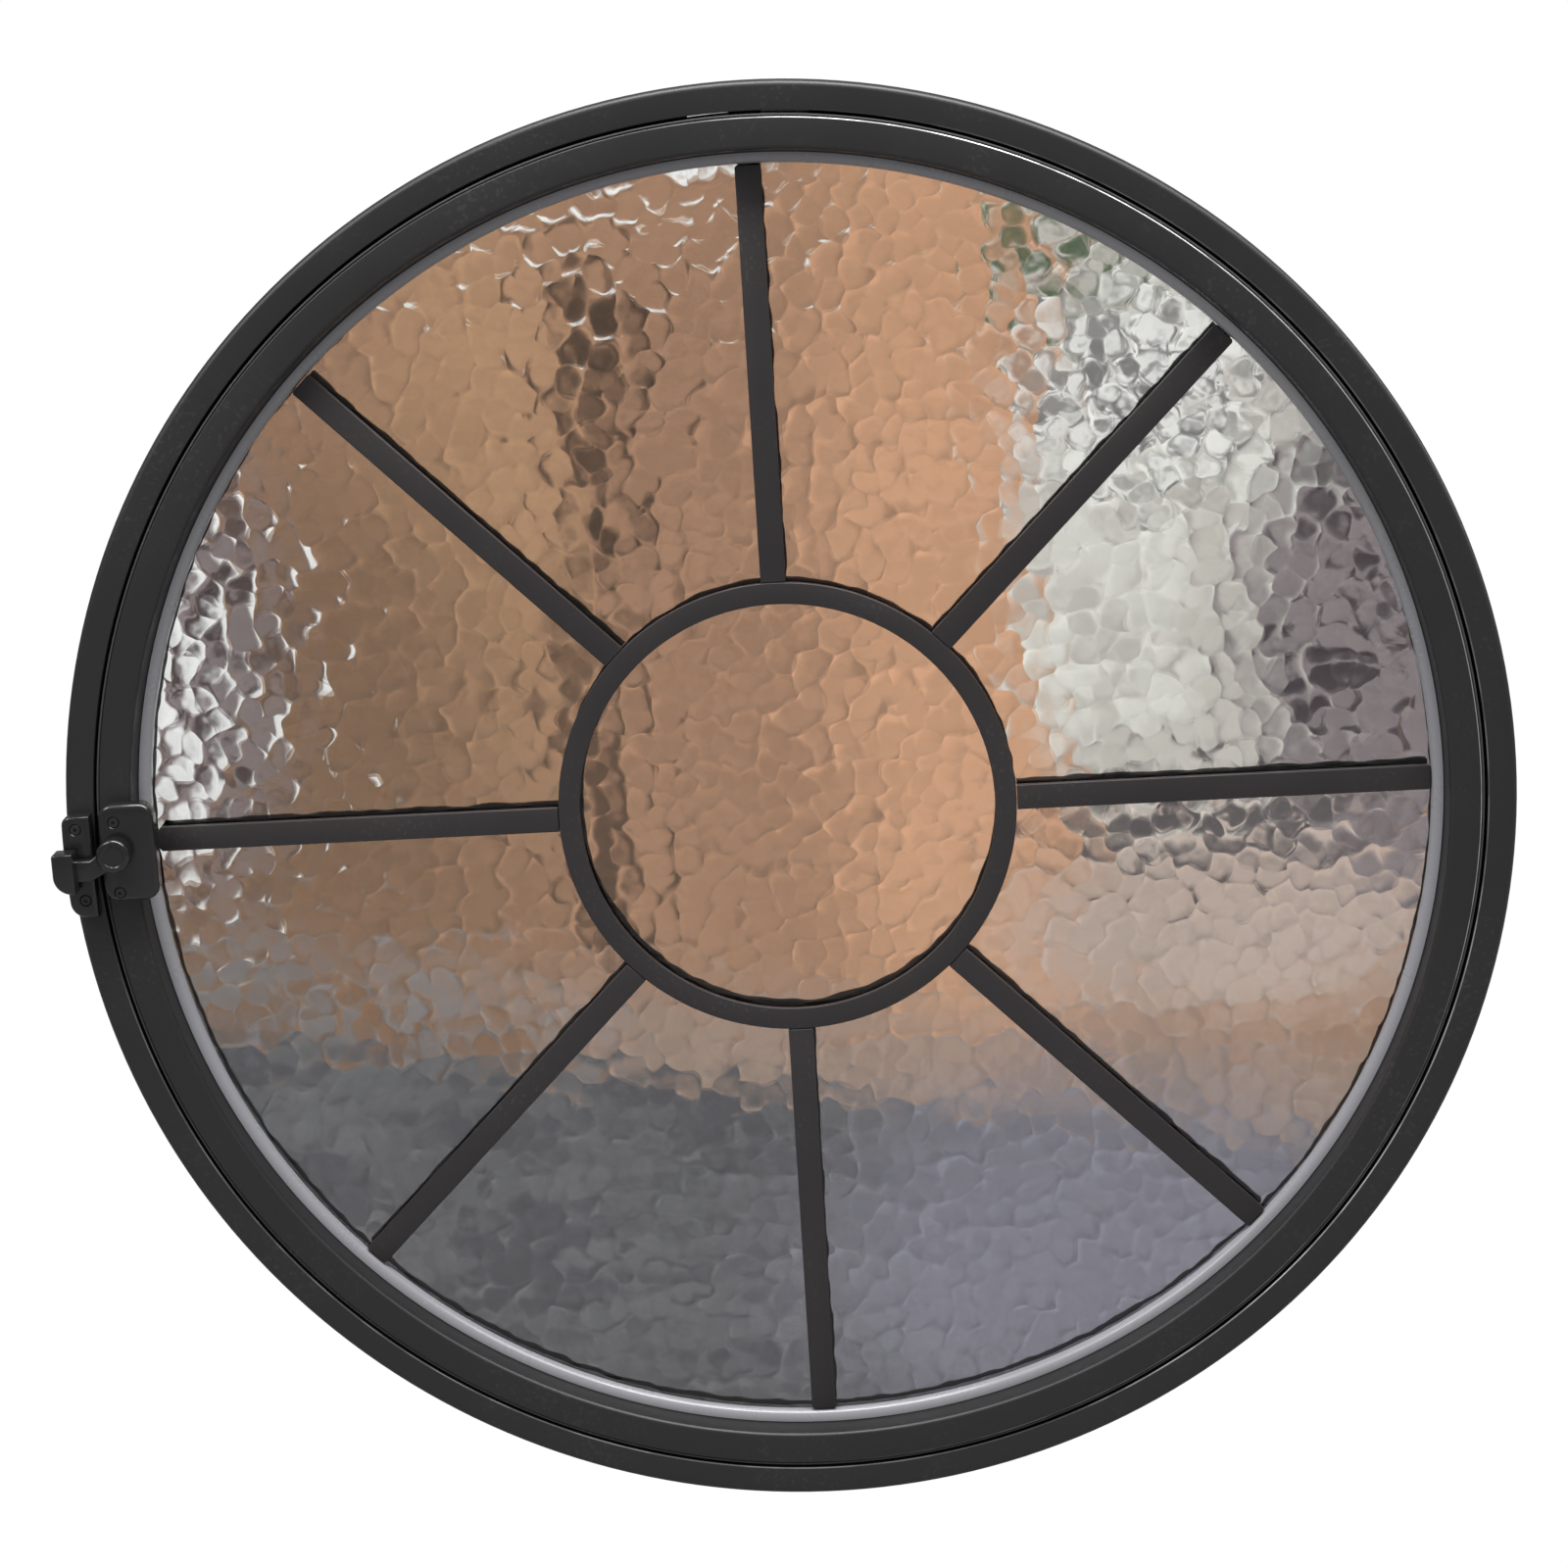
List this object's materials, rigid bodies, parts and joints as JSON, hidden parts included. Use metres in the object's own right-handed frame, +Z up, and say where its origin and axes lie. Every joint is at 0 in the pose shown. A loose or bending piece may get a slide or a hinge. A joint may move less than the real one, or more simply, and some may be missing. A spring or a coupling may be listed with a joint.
{
  "type": "round window",
  "caption": "Round centre-pivot window in its ring frame, with a double-glazed textured pane, a lattice of flat bars round a centre ring, and a side latch.",
  "frame": {"origin": "centre of the window in the plane of the wall face, where the back of the flange lies", "axes": "+Z up, +Y from the front face into the wall along the ring's axis, +X to the right seen from the front, with the latch at -X"},
  "size_m": [0.805, 0.0793, 0.8],
  "materials": {
    "frame_paint": "satin black paint",
    "bar_paint": "matt to satin black paint",
    "fitting_paint": "smooth semi-gloss black coating",
    "textured_glass": "hammered relief, glossy",
    "clear_glass": "clear, glossy",
    "grey_rubber": "smooth light grey glazing gasket",
    "black_rubber": "matt black rubber",
    "bare_aluminium": "mill finish",
    "blackened_steel": "blackened steel, slightly worn",
    "black_nylon": "matt black nylon"
  },
  "bodies": {
    "frame": {"frame_stop_left": "frame_paint", "keep_screw_bottom": "blackened_steel", "keep_screw_top": "blackened_steel", "latch_keep": "fitting_paint", "outer_frame": "frame_paint", "pivot_pin_bottom": "blackened_steel", "pivot_pin_top": "blackened_steel"},
    "sash": {"edge_seal": "black_rubber", "front_bar_1": "bar_paint", "front_bar_2": "bar_paint", "front_bar_3": "bar_paint", "front_bar_4": "bar_paint", "front_bar_5": "bar_paint", "front_bar_6": "bar_paint", "front_bar_7": "bar_paint", "front_bar_8": "bar_paint", "front_centre_ring": "bar_paint", "front_gasket": "grey_rubber", "front_pane": "textured_glass", "housing_screw_bottom": "blackened_steel", "housing_screw_top": "blackened_steel", "latch_housing": "fitting_paint", "pivot_bush_bottom": "black_nylon", "pivot_bush_top": "black_nylon", "pivot_washer_bottom": "black_nylon", "pivot_washer_top": "black_nylon", "rear_bar_1": "bar_paint", "rear_bar_2": "bar_paint", "rear_bar_3": "bar_paint", "rear_bar_4": "bar_paint", "rear_bar_5": "bar_paint", "rear_bar_6": "bar_paint", "rear_bar_7": "bar_paint", "rear_bar_8": "bar_paint", "rear_centre_ring": "bar_paint", "rear_gasket": "black_rubber", "rear_glazing_bead": "frame_paint", "rear_pane": "clear_glass", "sash_ring": "frame_paint", "sash_stop_right": "frame_paint", "setting_block_left": "black_nylon", "setting_block_right": "black_nylon", "spacer_bar": "bare_aluminium", "weather_seal_front": "black_rubber", "weather_seal_rear": "black_rubber"},
    "latch": {"latch_lever": "fitting_paint", "latch_spindle": "blackened_steel", "latch_tongue": "blackened_steel"}
  },
  "joints": [
    {"name": "sash_pivot", "type": "hinge", "parent": "frame", "child": "sash", "pos_m": [0, 0.018, 0], "axis": [0, 0, 1], "range_deg": [0, 90]},
    {"name": "latch_turn", "type": "hinge", "parent": "sash", "child": "latch", "pos_m": [-0.371, -0.0185, 0], "axis": [0, 1, 0], "range_deg": [0, 90]}
  ]
}
